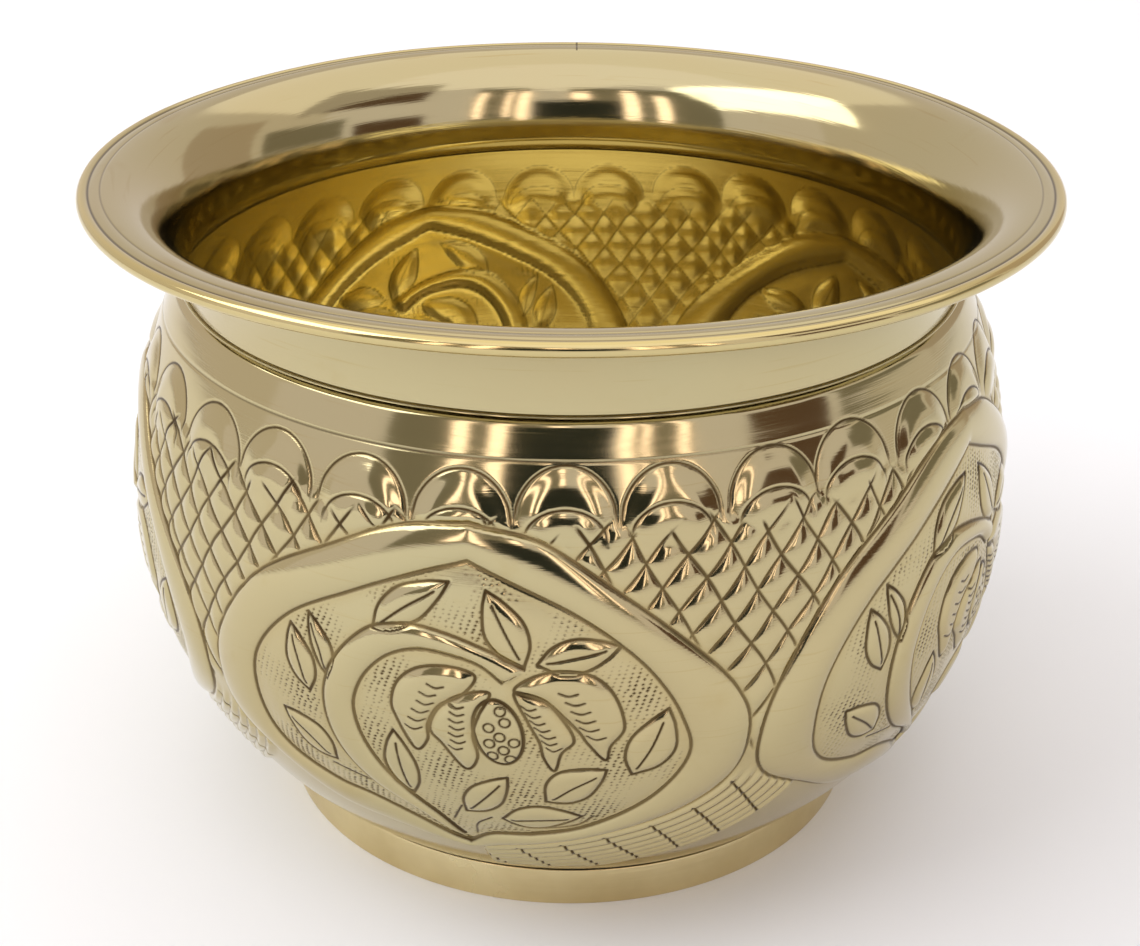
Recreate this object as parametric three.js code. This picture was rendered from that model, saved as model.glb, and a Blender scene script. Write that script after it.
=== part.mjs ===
// Brass urli bowl: a pot-bellied sheet-brass bowl with a flared, wired rim and a foot ring.
//
// Millimetres, +Z up. The origin is the centre of the ring that the bowl stands on.
// Every piece is turned around the Z axis. A profile is a list of (radius, height) points that
// runs up the outside of a piece and back down its inside, so that its faces point outwards.

import * as THREE from 'three';

// ---- Driving dimensions ---------------------------------------------------------------------

const SEGMENTS = 60; // facets around the axis, the same for all pieces so that they nest
const FIT_GAP = 0.3; // clearance between pieces that touch

// Belly: two half ellipses that share their widest ring.
const BELLY_RADIUS = 119;
const BELLY_HEIGHT = 88; // height of the widest ring
const BELLY_DROP = 106; // vertical semi-axis below the widest ring
const BELLY_RISE = 135; // vertical semi-axis above it
const BODY_SHEET = 1.0;
const SHOULDER_TOP = 153; // height of the cut edge that the neck stands in

// Bottom: a flat disc, rounded into the belly.
const BOTTOM_HEIGHT = 8; // underside of the disc above the table
const BOTTOM_BLEND_TOP = 9.5; // where the belly curve turns into the blend
const BOTTOM_FLAT_RADIUS = 76;

// Neck and lip: a quarter ellipse that ends in a flat lip.
const NECK_SHEET = 0.8;
const NECK_RADIUS = 102.8; // outside of the neck where it is narrowest
const HEM_DEPTH = 4.5; // length of neck tucked inside the shoulder
const COVE_CENTRE_RADIUS = 120.3; // where the cove has become the flat lip
const LIP_TOP = 178.6;

// Rolled edge around a stiffening wire.
const BEAD_RADIUS = 1.7;
const RIM_RADIUS = 127;
const CURL_END_ANGLE = THREE.MathUtils.degToRad(-190); // stops short of the lip, as an open roll
const WIRE_RADIUS = 0.6;

// Foot: a hoop with an inturned flange to stand on.
const FOOT_RADIUS = 82.5;
const FOOT_SHEET = 1.6;
const FOOT_FLANGE_RADIUS = 77;
const FOOT_SLOPE_GAP = 0.45; // vertical clearance under the sloping belly

// Solder fillets.
const NECK_FILLET_HEIGHT = 1.3;
const FOOT_FILLET_HEIGHT = 2.3;
const FOOT_FILLET_WIDTH = 2.6;

// ---- Derived dimensions ---------------------------------------------------------------------

const BEAD_CENTRE_RADIUS = RIM_RADIUS - BEAD_RADIUS;
const BEAD_HEIGHT = LIP_TOP - BEAD_RADIUS;
const LIP_UNDERSIDE = LIP_TOP - NECK_SHEET;

// ---- Materials ------------------------------------------------------------------------------

function metal(color, roughness) {
  return new THREE.MeshStandardMaterial({ color, roughness, metalness: 1 });
}

const polishedBrass = metal(0xc9ba82, 0.2);
const satinBrass = metal(0xc6b479, 0.38);
const solderBrass = metal(0xb7a261, 0.45);
const wireSteel = metal(0x8d8a80, 0.5);

// ---- Profile helpers ------------------------------------------------------------------------

// Points of an arc or elliptical arc from one angle to another, both ends included.
function arc(centreRadius, centreHeight, radiusR, radiusZ, from, to, steps) {
  const clockwise = to < from;
  const curve = new THREE.EllipseCurve(centreRadius, centreHeight, radiusR, radiusZ, from, to, clockwise);
  return curve.getPoints(steps);
}

function closed(points) {
  return [...points, points[0].clone()];
}

// Angle on a belly ellipse at which it reaches a given height.
function bellyAngle(height, semiAxis) {
  return Math.asin((height - BELLY_HEIGHT) / semiAxis);
}

// Height of the belly's outside at a given radius below the widest ring.
function undersideHeight(radius) {
  return BELLY_HEIGHT - BELLY_DROP * Math.sqrt(1 - (radius / BELLY_RADIUS) ** 2);
}

// One face of the body sheet, from the centre of the bottom up to the shoulder's edge.
// The inside is the outside with its semi-axes shortened by the sheet's thickness.
function bodyFace(inset) {
  const widest = BELLY_RADIUS - inset;
  const drop = BELLY_DROP - inset;
  const rise = BELLY_RISE - inset;
  const bottom = BOTTOM_HEIGHT + inset;
  const blendAngle = bellyAngle(BOTTOM_BLEND_TOP + inset, drop);
  const blendRadius = widest * Math.cos(blendAngle);
  const blendSlope = (widest * Math.tan(-blendAngle)) / drop; // radius gained per height gained
  const knee = blendRadius - (BOTTOM_BLEND_TOP - BOTTOM_HEIGHT) * blendSlope;
  const blend = new THREE.QuadraticBezierCurve(
    new THREE.Vector2(BOTTOM_FLAT_RADIUS - inset, bottom),
    new THREE.Vector2(knee, bottom),
    new THREE.Vector2(blendRadius, BOTTOM_BLEND_TOP + inset),
  );
  const lower = arc(0, BELLY_HEIGHT, widest, drop, blendAngle, 0, 7);
  const upper = arc(0, BELLY_HEIGHT, widest, rise, 0, bellyAngle(SHOULDER_TOP, rise), 6);
  return [
    new THREE.Vector2(0, bottom),
    ...blend.getPoints(2),
    ...lower.slice(1),
    ...upper.slice(1),
  ];
}

// ---- Pieces ---------------------------------------------------------------------------------

function turned(name, profile, material) {
  const mesh = new THREE.Mesh(new THREE.LatheGeometry(profile, SEGMENTS), material);
  mesh.name = name;
  return mesh;
}

// Belly, shoulder and bottom, raised from one sheet.
function bowlBody() {
  const outside = bodyFace(0);
  const inside = bodyFace(BODY_SHEET).reverse();
  return turned('bowl_body', [...outside, ...inside], polishedBrass);
}

// Flared neck whose edge is rolled down around the wire. Its hem stands inside the shoulder.
function neckRim() {
  const hemBottom = SHOULDER_TOP - HEM_DEPTH;
  const coveR = COVE_CENTRE_RADIUS - NECK_RADIUS;
  const coveZ = LIP_UNDERSIDE - SHOULDER_TOP;
  const coveTopR = coveR + NECK_SHEET;
  const coveTopZ = coveZ + NECK_SHEET;
  const quarter = Math.PI / 2;
  const underside = arc(COVE_CENTRE_RADIUS, SHOULDER_TOP, coveR, coveZ, Math.PI, quarter, 6);
  const topside = arc(COVE_CENTRE_RADIUS, SHOULDER_TOP, coveTopR, coveTopZ, quarter, Math.PI, 6);
  const hollow = BEAD_RADIUS - NECK_SHEET;
  const curlInside = arc(BEAD_CENTRE_RADIUS, BEAD_HEIGHT, hollow, hollow, quarter, CURL_END_ANGLE, 6);
  const curlOutside = arc(
    BEAD_CENTRE_RADIUS, BEAD_HEIGHT, BEAD_RADIUS, BEAD_RADIUS, CURL_END_ANGLE, quarter, 8,
  );
  return turned('neck_rim', closed([
    new THREE.Vector2(NECK_RADIUS, hemBottom),
    ...underside,
    ...curlInside,
    ...curlOutside,
    ...topside,
    new THREE.Vector2(NECK_RADIUS - NECK_SHEET, hemBottom),
  ]), polishedBrass);
}

// Stiffening wire inside the rolled edge.
function rimWire() {
  const geometry = new THREE.TorusGeometry(BEAD_CENTRE_RADIUS, WIRE_RADIUS, 8, SEGMENTS);
  const mesh = new THREE.Mesh(geometry, wireSteel);
  mesh.name = 'rim_wire';
  mesh.position.z = BEAD_HEIGHT;
  return mesh;
}

// Hoop with a flange turned inwards along the table. Its top edge is cut to the belly's slope.
function footRing() {
  const inner = FOOT_RADIUS - FOOT_SHEET;
  return turned('foot_ring', closed([
    new THREE.Vector2(FOOT_FLANGE_RADIUS, 0),
    new THREE.Vector2(FOOT_RADIUS, 0),
    new THREE.Vector2(FOOT_RADIUS, undersideHeight(FOOT_RADIUS) - FOOT_SLOPE_GAP),
    new THREE.Vector2(inner, undersideHeight(inner) - FOOT_SLOPE_GAP),
    new THREE.Vector2(inner, FOOT_SHEET),
    new THREE.Vector2(FOOT_FLANGE_RADIUS, FOOT_SHEET),
  ]), satinBrass);
}

// Solder in the crease between the shoulder's cut edge and the neck.
function neckSolder() {
  const base = SHOULDER_TOP + FIT_GAP;
  const inner = NECK_RADIUS + FIT_GAP;
  const shoulderEdge = BELLY_RADIUS * Math.cos(bellyAngle(SHOULDER_TOP, BELLY_RISE));
  return turned('neck_solder_seam', closed([
    new THREE.Vector2(inner, base),
    new THREE.Vector2(shoulderEdge, base),
    new THREE.Vector2(inner + FIT_GAP, base + NECK_FILLET_HEIGHT),
  ]), solderBrass);
}

// Solder inside the foot, between the hoop and the underside of the bowl.
function footSolder() {
  const outer = FOOT_RADIUS - FOOT_SHEET - FIT_GAP;
  const top = undersideHeight(outer) - FOOT_SLOPE_GAP;
  return turned('foot_solder_seam', closed([
    new THREE.Vector2(outer, top - FOOT_FILLET_HEIGHT),
    new THREE.Vector2(outer, top),
    new THREE.Vector2(outer - FOOT_FILLET_WIDTH, BOTTOM_HEIGHT - FOOT_SLOPE_GAP),
  ]), solderBrass);
}

// ---- Assembly -------------------------------------------------------------------------------

// LatheGeometry turns around Y, so the turned pieces share a group that stands Y up along Z.
const turnedPieces = new THREE.Group();
turnedPieces.rotation.x = Math.PI / 2;
turnedPieces.add(bowlBody(), neckRim(), footRing(), neckSolder(), footSolder());

const urli = new THREE.Group();
urli.add(turnedPieces, rimWire());

export default urli;
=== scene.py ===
# Looks of the brass urli bowl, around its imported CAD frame.
#
# Lengths are millimetres while a surface is drawn, and metres in Blender. Angles around the bowl
# are degrees from the camera's side (-Y), positive towards +X. The chased belly is a grid of
# points (row = distance along the profile, column = angle), moved in and out by a relief map.

import math

import bpy
import numpy as np
from mathutils import Matrix, Vector


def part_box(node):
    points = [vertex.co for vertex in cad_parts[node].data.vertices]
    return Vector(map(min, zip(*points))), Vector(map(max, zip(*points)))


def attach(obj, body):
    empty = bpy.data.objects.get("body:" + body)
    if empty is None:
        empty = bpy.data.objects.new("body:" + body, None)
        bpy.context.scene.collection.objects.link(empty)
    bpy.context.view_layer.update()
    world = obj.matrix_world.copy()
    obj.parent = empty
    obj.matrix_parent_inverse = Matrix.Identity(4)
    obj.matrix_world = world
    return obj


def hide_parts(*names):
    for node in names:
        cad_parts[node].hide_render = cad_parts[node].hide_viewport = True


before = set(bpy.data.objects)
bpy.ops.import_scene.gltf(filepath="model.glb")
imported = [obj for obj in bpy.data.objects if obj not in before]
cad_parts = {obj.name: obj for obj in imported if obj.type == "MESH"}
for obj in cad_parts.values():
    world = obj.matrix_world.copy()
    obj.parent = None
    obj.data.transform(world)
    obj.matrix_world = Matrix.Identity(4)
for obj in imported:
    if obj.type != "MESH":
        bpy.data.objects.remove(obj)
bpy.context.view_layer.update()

MM = 0.001

# ---- Sizes, from the frame and the profile curves ----------------------------------------------

body_low, body_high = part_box("bowl_body")
_, neck_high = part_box("neck_rim")
_, foot_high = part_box("foot_ring")

BELLY_RADIUS = body_high[0] / MM
SHOULDER_TOP = body_high[2] / MM
BOTTOM_HEIGHT = body_low[2] / MM
RIM_RADIUS = 127.0
LIP_TOP = neck_high[2] / MM
FOOT_RADIUS = foot_high[0] / MM
FOOT_TOP = foot_high[2] / MM

BELLY_HEIGHT = 88.0  # height of the widest ring
BELLY_DROP = 106.0  # vertical semi-axis below it
BELLY_RISE = 135.0  # vertical semi-axis above it
BODY_SHEET = 1.0
BELLY_START = 9.5  # where the belly curve leaves the rounded bottom
BOTTOM_FLAT_RADIUS = 76.0
EDGE_ROUNDING = 1.0  # how far the shoulder's cut edge is rounded in
EDGE_ROUNDING_HEIGHT = 1.6
NECK_RADIUS = 102.8
NECK_SHEET = 0.8
HEM_DEPTH = 4.5
COVE_CENTRE_RADIUS = 120.3
BEAD_RADIUS = 1.7
WIRE_RADIUS = 0.6
FOOT_SHEET = 1.6
FLANGE_RADIUS = 77.0

COLUMNS = 2160
ROWS = 460
INNER_ROWS = 170

rng = np.random.default_rng(11)


def smooth(x):
    """0 below 0, 1 above 1, with a soft ramp between."""
    x = np.clip(x, 0.0, 1.0)
    return x * x * (3.0 - 2.0 * x)


def belly_radius(z):
    """Outside radius of the belly at a height."""
    drop = np.where(z < BELLY_HEIGHT, BELLY_DROP, BELLY_RISE)
    return BELLY_RADIUS * np.sqrt(1.0 - ((z - BELLY_HEIGHT) / drop) ** 2)


def belly_underside(radius):
    """Height of the belly's lower half at a radius."""
    return BELLY_HEIGHT - BELLY_DROP * math.sqrt(1 - (radius / BELLY_RADIUS) ** 2)


# ---- The belly's grid --------------------------------------------------------------------------

DEGREE_MM = 2.05  # length of one degree on the belly

fine_z = np.linspace(BELLY_START, SHOULDER_TOP, 4000)
fine_r = belly_radius(fine_z)
fine_s = np.concatenate([[0.0], np.cumsum(np.hypot(np.diff(fine_z), np.diff(fine_r)))])
LENGTH = fine_s[-1]  # of the profile from the bottom to the shoulder's edge

row_s = np.linspace(0.0, LENGTH, ROWS)
row_z = np.interp(row_s, fine_s, fine_z)
row_r = belly_radius(row_z)
row_step = row_s[1]
column_deg = np.arange(COLUMNS) * 360.0 / COLUMNS - 180.0
column_step = 360.0 / COLUMNS


def along(z):
    """Distance along the profile at a height."""
    return np.interp(z, fine_z, fine_s)


def spline(points, closed=False, spacing=0.3):
    """Catmull-Rom curve through (degrees, height) points, as dense (degrees, height) points."""
    p = np.array(points, float)
    if closed:
        p = np.vstack([p[-1], p, p[0], p[1]])
    else:
        p = np.vstack([2 * p[0] - p[1], p, 2 * p[-1] - p[-2]])
    out = []
    for a, b, c, d in zip(p[:-3], p[1:-2], p[2:-1], p[3:]):
        steps = max(2, int(np.hypot((c[0] - b[0]) * DEGREE_MM, c[1] - b[1]) / spacing))
        t = (np.arange(steps) / steps)[:, None]
        out.append(0.5 * (2 * b + (c - a) * t + (2 * a - 5 * b + 4 * c - d) * t**2
                          + (3 * b - a - 3 * c + d) * t**3))
    out.append(p[-2][None])
    return np.vstack(out)


class Patch:
    """A stretch of the grid around one angle, on which distances to drawn curves are found."""

    def __init__(self, centre, half_width, z_low, z_high):
        self.row0 = max(0, int(along(z_low) / row_step))
        self.row1 = min(ROWS, int(along(z_high) / row_step) + 2)
        count = int(half_width / column_step)
        middle = int(round((centre + 180.0) / column_step))
        self.columns = (np.arange(-count, count + 1) + middle) % COLUMNS
        self.deg = (np.arange(-count, count + 1) + middle) * column_step - 180.0
        self.z = row_z[self.row0:self.row1]
        self.s = row_s[self.row0:self.row1]
        self.r = row_r[self.row0:self.row1]
        self.shape = (len(self.z), len(self.deg))
        self.Z = np.repeat(self.z[:, None], self.shape[1], 1)
        self.A = np.repeat(self.deg[None], self.shape[0], 0)
        self.index = np.ix_(np.arange(self.row0, self.row1), self.columns)

    def distance(self, curve, reach):
        """Distance in mm from every grid point to a dense curve, up to reach."""
        out = np.full(self.shape, reach, float)
        rows = int(reach / row_step) + 1
        curve_s = along(curve[:, 1])
        curve_r = belly_radius(np.clip(curve[:, 1], BELLY_START, SHOULDER_TOP))
        mm_per_deg = np.radians(1.0) * curve_r
        centre_row = np.rint(curve_s / row_step).astype(int) - self.row0
        centre_col = np.rint((curve[:, 0] - self.deg[0]) / column_step).astype(int)
        for k in range(len(curve)):
            cols = int(reach / (mm_per_deg[k] * column_step)) + 1
            r0, r1 = max(0, centre_row[k] - rows), min(self.shape[0], centre_row[k] + rows + 1)
            c0, c1 = max(0, centre_col[k] - cols), min(self.shape[1], centre_col[k] + cols + 1)
            if r0 >= r1 or c0 >= c1:
                continue
            dy = self.s[r0:r1] - curve_s[k]
            dx = (self.deg[c0:c1] - curve[k, 0]) * mm_per_deg[k]
            near = np.sqrt(dy[:, None] ** 2 + dx[None] ** 2)
            np.minimum(out[r0:r1, c0:c1], near, out=out[r0:r1, c0:c1])
        return out

    def inside(self, curve):
        """True where a grid point is inside a closed dense curve."""
        out = np.zeros(self.shape, bool)
        rows = np.where((self.z > curve[:, 1].min()) & (self.z < curve[:, 1].max()))[0]
        a, b = curve, np.roll(curve, -1, 0)
        for i in rows:
            z = self.z[i]
            hit = (a[:, 1] > z) != (b[:, 1] > z)
            t = (z - a[hit, 1]) / (b[hit, 1] - a[hit, 1])
            cross = np.sort(a[hit, 0] + t * (b[hit, 0] - a[hit, 0]))
            out[i] = np.searchsorted(cross, self.deg) % 2 == 1
        return out


# ---- Relief maps -------------------------------------------------------------------------------

height = np.zeros((ROWS, COLUMNS))  # how far the sheet is pushed outwards, in mm
groove = np.zeros((ROWS, COLUMNS))  # how much tarnish a line holds
cut = np.zeros((ROWS, COLUMNS))  # depth of engraved lines and punched dots, outside only
GRID_Z = np.repeat(row_z[:, None], COLUMNS, 1)
GRID_A = np.repeat(column_deg[None], ROWS, 0)

LINE_WIDTH = 0.42
LINE_DEPTH = 0.32
LINE_REACH = 1.6  # beyond this many mm a line has no effect


def line_profile(distance, width=LINE_WIDTH):
    """1 on a line, falling to 0 beside it."""
    return np.exp(-(distance / width) ** 2)


def crown(near, far):
    """Arch across a band, from its distances to both edges."""
    across = near / (near + far + 1e-6)
    return np.clip(1 - (2 * across - 1) ** 2, 0, 1)


# ---- Medallions --------------------------------------------------------------------------------

# Each medallion: axis in degrees, width scale, height scale above its middle.
MEDALLIONS = [(-11.5, 1.0, 1.0), (59.5, 1.02, 1.06), (132.0, 0.97, 1.0), (203.5, 0.93, 0.99),
              (277.5, 0.97, 1.02)]
MEDALLION_MIDDLE = 75.0

# The band's two outlines around a medallion, from the apex down the right side to the tip and up
# the left side: (degrees from the axis, height). The chaser's two sides are not quite alike.
OUTER = [(0, 130.5), (8.5, 127), (17.5, 115), (25.5, 101), (30.5, 89), (32.6, 77), (31.3, 62),
         (25, 50.5), (13.5, 41.5), (5, 37), (-1.8, 33.5), (-10, 36.5), (-20, 40.5), (-28, 50),
         (-34.5, 59), (-36.2, 71), (-34.2, 87.6), (-27, 107.5), (-16, 121), (-8, 128.2)]
OUTER_TIP = 10
INNER = [(0, 122), (4, 118.5), (11.2, 111.8), (17.3, 102.8), (21.3, 93.8), (24.2, 83), (25.4, 71),
         (21.5, 57.5), (14.5, 47.6), (7.5, 43), (1.6, 41.2), (-1.9, 36), (-4.6, 38.3), (-9, 44),
         (-14, 48.6), (-19.5, 50.8), (-26, 57.3), (-28.6, 68), (-27.9, 84.5), (-22.3, 99.6),
         (-13.4, 110.6), (-6, 117.6)]
INNER_TIP = 11

HOOP_OUTER = [(6.6, 97), (2.7, 101), (-2.3, 104.3), (-6.9, 105.2), (-11.4, 102.5), (-15.4, 94),
              (-17.4, 85), (-17.9, 77), (-17.3, 69), (-15.5, 61.5), (-12.4, 54.5), (-7.4, 47.5),
              (-2.5, 38)]
HOOP_INNER = [(4.1, 93), (1.6, 97), (-1.9, 98.9), (-5.6, 99.2), (-9.1, 96.2), (-11.9, 90.2), (-13.5, 83),
              (-13.7, 77), (-12.9, 70), (-11.1, 62.5), (-8.3, 55), (-4.9, 47.5), (-2.3, 39.5)]

# Leaves: base, tip, then how far each side bulges, in mm, as (left, right) of base-to-tip.
LEAVES = [
    ((-10.9, 102.6), (-2, 116.7), 5.2, 3.7), ((6.6, 97.5), (2.2, 115.6), 5.0, 4.7),
    ((8, 98.3), (17.2, 102.8), 4.4, 4.3), ((18.8, 66.3), (22.7, 85.5), 5.0, 6.6),
    ((8.8, 57), (15.9, 68.2), 6.2, 4.8), ((-1.2, 50.6), (4.4, 65), 4.2, 4.5),
    ((-7.7, 54.5), (-8.9, 75.4), 4.8, 3.6), ((3.3, 49), (13.2, 51.2), 4.9, 4.5),
    ((-19.7, 80.2), (-22, 97.6), 3.9, 4.2), ((-16.9, 86), (-19.4, 102), 1.8, 3.8),
    ((-17.8, 59.5), (-24.4, 71.6), 4.3, 5.4),
]
# Stems that tie the leaves to the tip: each through its points.
STEMS = [[(-0.6, 40.1), (-0.1, 45.4), (1.9, 49)], [(-3.1, 46.5), (-1.7, 52.6)],
         [(8.6, 45.4), (12.6, 47), (14.6, 51)], [(-13.6, 55.5), (-18.6, 57.6)]]

# The flower: a seed pod between two pairs of hatched petals.
POD_CENTRE = (3.6, 79.0)
POD_HALF_WIDTH = 2.8
POD_HALF_HEIGHT = 9.4
POD_LEAN = 0.05
SEED_RADIUS = 1.25
SEEDS = [(3.9, 85.6), (4.4, 82.6), (2.6, 80.8), (3.8, 78.3), (2.6, 76.2), (5.4, 76.8), (4.2, 74.4),
         (2.9, 72.4), (4.9, 71.6)]
PETALS = [
    # right outer, right inner, left outer, left inner: closed outlines
    [(5.5, 91), (7.5, 95), (11.1, 96.9), (14.5, 95), (16.7, 89.5), (17.7, 81), (16.2, 75.6),
     (15.7, 71.4), (13.7, 76.5), (12.7, 80), (11.1, 84), (8.9, 88.5)],
    [(5.5, 90.6), (8.7, 89), (10.9, 83.5), (12.1, 77.5), (10.7, 73.6), (9.9, 68), (8.7, 72),
     (8.2, 77), (6.9, 83)],
    [(1.1, 94.2), (-1.9, 95.9), (-5.5, 94.4), (-7.9, 90), (-8.8, 84), (-8.3, 79.4), (-6.3, 71),
     (-4.7, 74.5), (-4.5, 79.5), (-3.1, 85), (-0.3, 89)],
    [(2.7, 90), (-0.3, 89), (-3.1, 84.5), (-4.3, 78), (-2.9, 73.8), (-0.4, 66.8), (1.1, 71), (0.7, 78),
     (1.5, 84)],
]
# Short curved cuts on each petal: start and end of the row of cuts, how many, their half length.
PETAL_CUTS = [((11.3, 92.5), (14.7, 77.8), 6, 1.05), ((6.7, 88), (10.1, 74.5), 7, 0.85),
              ((-3.3, 92), (-6.5, 77), 6, 0.95), ((-0.7, 87), (-1.3, 73), 7, 0.8)]


def place(points, medallion):
    """Moves local (degrees, height) points onto a medallion."""
    axis, width, tall = medallion
    p = np.array(points, float)
    above = p[:, 1] > MEDALLION_MIDDLE
    z = MEDALLION_MIDDLE + (p[:, 1] - MEDALLION_MIDDLE) * np.where(above, tall, 1.0)
    return np.stack([axis + p[:, 0] * width, z], 1)


def corner_spline(points, corners):
    """A closed curve through points, smooth except at the corner indices."""
    pts = [tuple(p) for p in points]
    pieces = []
    marks = list(corners) + [corners[0] + len(pts)]
    for start, end in zip(marks[:-1], marks[1:]):
        run = [pts[i % len(pts)] for i in range(start, end + 1)]
        pieces.append(spline(run)[:-1])
    return np.vstack(pieces)


def leaf_edges(base, tip, left, right):
    """Two bowed edges from base to tip, in (degrees, height)."""
    mm = np.radians(1.0) * float(belly_radius(np.array((base[1] + tip[1]) / 2)))
    b = np.array([base[0] * mm, base[1]])
    t = np.array([tip[0] * mm, tip[1]])
    axis = (t - b) / np.linalg.norm(t - b)
    side = np.array([-axis[1], axis[0]])
    span = np.linalg.norm(t - b)
    edges = []
    for bulge, sign in ((left, 1), (right, -1)):
        run = [b, b + axis * span * 0.22 + side * sign * bulge * 0.78,
               b + axis * span * 0.5 + side * sign * bulge,
               b + axis * span * 0.8 + side * sign * bulge * 0.55, t]
        edges.append([(p[0] / mm, p[1]) for p in run])
    rib = [b + axis * span * 0.12, b + axis * span * 0.45 + side * (left - right) * 0.3,
           b + axis * span * 0.82]
    return edges[0], edges[1], [(p[0] / mm, p[1]) for p in rib]


MEDALLION_RISE = 0.25
BAND_RISE = 1.45
GROUND_RISE = 0.35
HOOP_RISE = 1.2
PETAL_RISE = 0.85
LEAF_RISE = 0.7
POD_BASE_RISE = 0.9
POD_RISE = 0.35
PETAL_CUT_SAG = 0.55
THIN_LINE = 0.34
RIB_LINE = 0.36


def draw_medallion(medallion, seed):
    random = np.random.default_rng(seed)
    patch = Patch(medallion[0], 44, 26, 142)

    outer = corner_spline(place(OUTER, medallion), (0, OUTER_TIP))
    inner = corner_spline(place(INNER, medallion), (0, INNER_TIP))
    hoop_out = spline(place(HOOP_OUTER, medallion))
    hoop_in = spline(place(HOOP_INNER, medallion))
    hoop = np.vstack([hoop_out, hoop_in[::-1]])

    in_outer = patch.inside(outer)
    in_inner = patch.inside(inner)
    in_hoop = patch.inside(hoop)
    d_outer = patch.distance(outer, 14)
    d_inner = patch.distance(inner, 14)
    d_hoop_out = patch.distance(hoop_out, 8)
    d_hoop_in = patch.distance(hoop_in, 8)
    d_hoop = np.minimum(d_hoop_out, d_hoop_in)

    # the raised band between the two outlines, and the ground inside it
    band = in_outer & ~in_inner
    h = np.where(band, MEDALLION_RISE + BAND_RISE * crown(d_outer, d_inner) ** 0.75, 0.0)
    h = np.where(in_inner, MEDALLION_RISE + GROUND_RISE * smooth(d_inner / 7), h)
    ring = in_hoop & in_inner
    h += np.where(ring, HOOP_RISE * crown(d_hoop_out, d_hoop_in) ** 0.7 * smooth(d_hoop / 0.8), 0.0)

    lines = np.minimum(np.minimum(d_outer, d_inner), d_hoop)
    dark = line_profile(lines)
    deep = line_profile(lines) * 1.1
    raised = ring.copy()

    def mark(d, width=LINE_WIDTH, shade=1.0, depth=1.0):
        nonlocal dark, deep
        dark = np.maximum(dark, shade * line_profile(d, width))
        deep = np.maximum(deep, depth * line_profile(d, width))

    def engrave(points, width, weight):
        d = patch.distance(spline(place(points, medallion)), LINE_REACH)
        mark(d, width, weight, weight)

    def pillow(curve, rise, edge):
        nonlocal h, raised
        shape = patch.inside(curve) & in_inner & ~ring
        d = patch.distance(curve, edge)
        h += np.where(shape & ~raised, rise * smooth(d / edge), 0.0)
        raised |= shape

    for petal in PETALS:
        curve = spline(place(petal, medallion), closed=True)
        pillow(curve, PETAL_RISE, 2.6)
        mark(patch.distance(curve, LINE_REACH))
    for start, end, count, half_length in PETAL_CUTS:
        for t in (np.arange(count) + 0.5) / count:
            a = start[0] + (end[0] - start[0]) * t + random.normal(0, 0.12)
            z = start[1] + (end[1] - start[1]) * t
            bow = [(a - half_length, z + PETAL_CUT_SAG * 0.4), (a, z - PETAL_CUT_SAG), (a + half_length, z)]
            engrave(bow, THIN_LINE, 0.8)

    angles = np.linspace(0, 2 * np.pi, 25)[:-1]
    pod = [(POD_CENTRE[0] + POD_HALF_WIDTH * math.cos(t) - POD_LEAN * POD_HALF_HEIGHT * math.sin(t),
            POD_CENTRE[1] + POD_HALF_HEIGHT * math.sin(t)) for t in angles]
    curve = spline(place(pod, medallion), closed=True)
    shape = patch.inside(curve)
    d = patch.distance(curve, 2.5)
    h = np.where(shape, np.maximum(h, POD_BASE_RISE) + POD_RISE * smooth(d / 2.5), h)
    mark(d, 0.5, 1.0, 1.3)
    raised |= shape
    mm = math.radians(1.0) * BELLY_RADIUS * medallion[1]
    for across, up in SEEDS:
        loop = [(across + SEED_RADIUS * math.cos(t) / mm, up + SEED_RADIUS * math.sin(t))
                for t in angles[::2]]
        curve = spline(place(loop, medallion), closed=True)
        mark(patch.distance(curve, LINE_REACH), THIN_LINE, 0.8, 0.9)

    for stem in STEMS:
        engrave(stem, RIB_LINE, 0.8)
    for base, tip, left, right in LEAVES:
        one, two, rib = leaf_edges(base, tip, left, right)
        closed = np.vstack([spline(place(one, medallion)), spline(place(two, medallion))[::-1]])
        covered = raised.copy()
        pillow(closed, LEAF_RISE, 2.2)
        d = patch.distance(closed, LINE_REACH)
        mark(np.where(covered & patch.inside(closed), LINE_REACH, d))
        engrave(rib, RIB_LINE, 0.85)

    # punched dots on the bare ground
    ground = in_inner & ~raised & (d_inner > 1.1) & (d_hoop > 1.0)
    pits = 0.85 * np.where(ground, punched_dots(patch, random), 0.0)
    dark = np.maximum(dark, pits)
    deep = np.maximum(deep, pits)

    keep = in_outer | (d_outer < 1.5)
    index = patch.index
    outside = np.where(in_outer, 0.0, smooth(d_outer / 1.2))
    height[index] = height[index] * outside + h
    groove[index] = np.where(keep, np.maximum(groove[index] * outside, dark), groove[index])
    cut[index] = np.where(keep, np.maximum(cut[index] * outside, deep), cut[index])


DOT_ROW_PITCH = 1.15
DOT_COLUMN_PITCH = 1.75
DOT_HALF_HEIGHT = 0.32
DOT_HALF_WIDTH = 0.42
DOT_JITTER = 0.15  # chance that a dot sits one grid step off


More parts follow.
